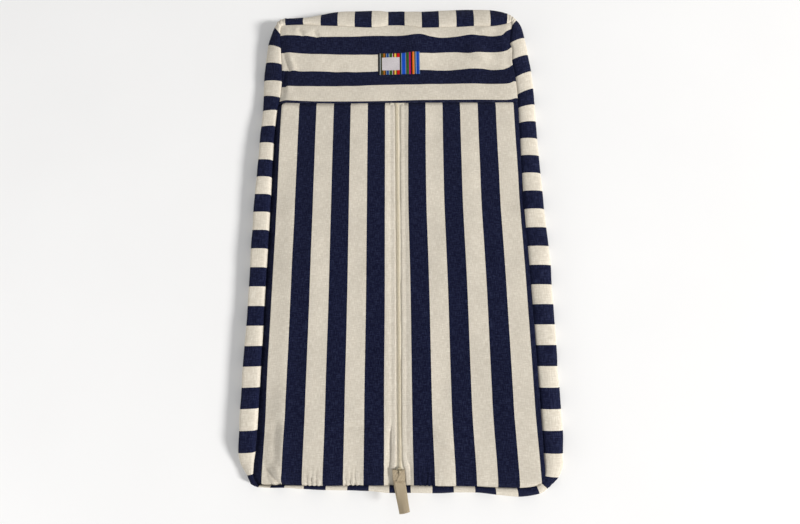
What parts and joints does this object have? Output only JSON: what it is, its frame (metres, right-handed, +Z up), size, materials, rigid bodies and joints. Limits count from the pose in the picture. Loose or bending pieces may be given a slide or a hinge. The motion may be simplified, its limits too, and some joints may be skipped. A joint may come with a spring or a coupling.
{
  "type": "garment bag",
  "caption": "Flat striped canvas garment bag, lying on its back, with a full-length front zip, a webbing zip pull, a shoulder yoke and a hook eyelet in its top gusset.",
  "frame": {"origin": "on the table, below the middle of the outline of the bag lying on its back", "axes": "+Y from the hem towards the hanger end, +Z up out of the front, +X to the right seen from the front"},
  "size_m": [0.678, 1.1822, 0.0318],
  "materials": {
    "canvas_front": "matte striped cotton canvas, navy and cream",
    "canvas_back": "matte striped cotton canvas, navy and cream",
    "canvas_gusset": "matte striped cotton canvas, navy and cream",
    "binding": "matte cotton tape",
    "zip_tape": "woven polyester tape",
    "zip_coil": "satin nylon",
    "zip_metal": "satin",
    "webbing": "matte herringbone cotton webbing",
    "label": "woven label",
    "eyelet": "nickel plated"
  },
  "bodies": {
    "bag": {"back_panel": "canvas_back", "front_panel_left": "canvas_front", "front_panel_right": "canvas_front", "yoke": "canvas_front", "gusset_left": "canvas_gusset", "gusset_right": "canvas_gusset", "gusset_top": "canvas_gusset", "gusset_hem": "canvas_gusset", "front_seam_binding": "binding", "back_seam_binding": "binding", "zip_tape_left": "zip_tape", "zip_tape_right": "zip_tape", "zip_coil_left": "zip_coil", "zip_coil_right": "zip_coil", "zip_end_stops": "zip_metal", "zip_base_stop": "zip_metal", "label": "label", "eyelet_flange": "eyelet", "eyelet_washer": "eyelet"},
    "slider": {"zip_slider": "zip_metal", "slider_bail": "zip_metal"},
    "pull": {"pull_tape": "webbing"}
  },
  "joints": [
    {"name": "zip_slide", "type": "slide", "parent": "bag", "child": "slider", "axis": [0, 1, 0], "range_m": [0, 0.829]},
    {"name": "pull_swing", "type": "hinge", "parent": "slider", "child": "pull", "pos_m": [0.002, -0.50891, 0.029], "axis": [-1, 0, 0], "range_deg": [0, 170]}
  ]
}
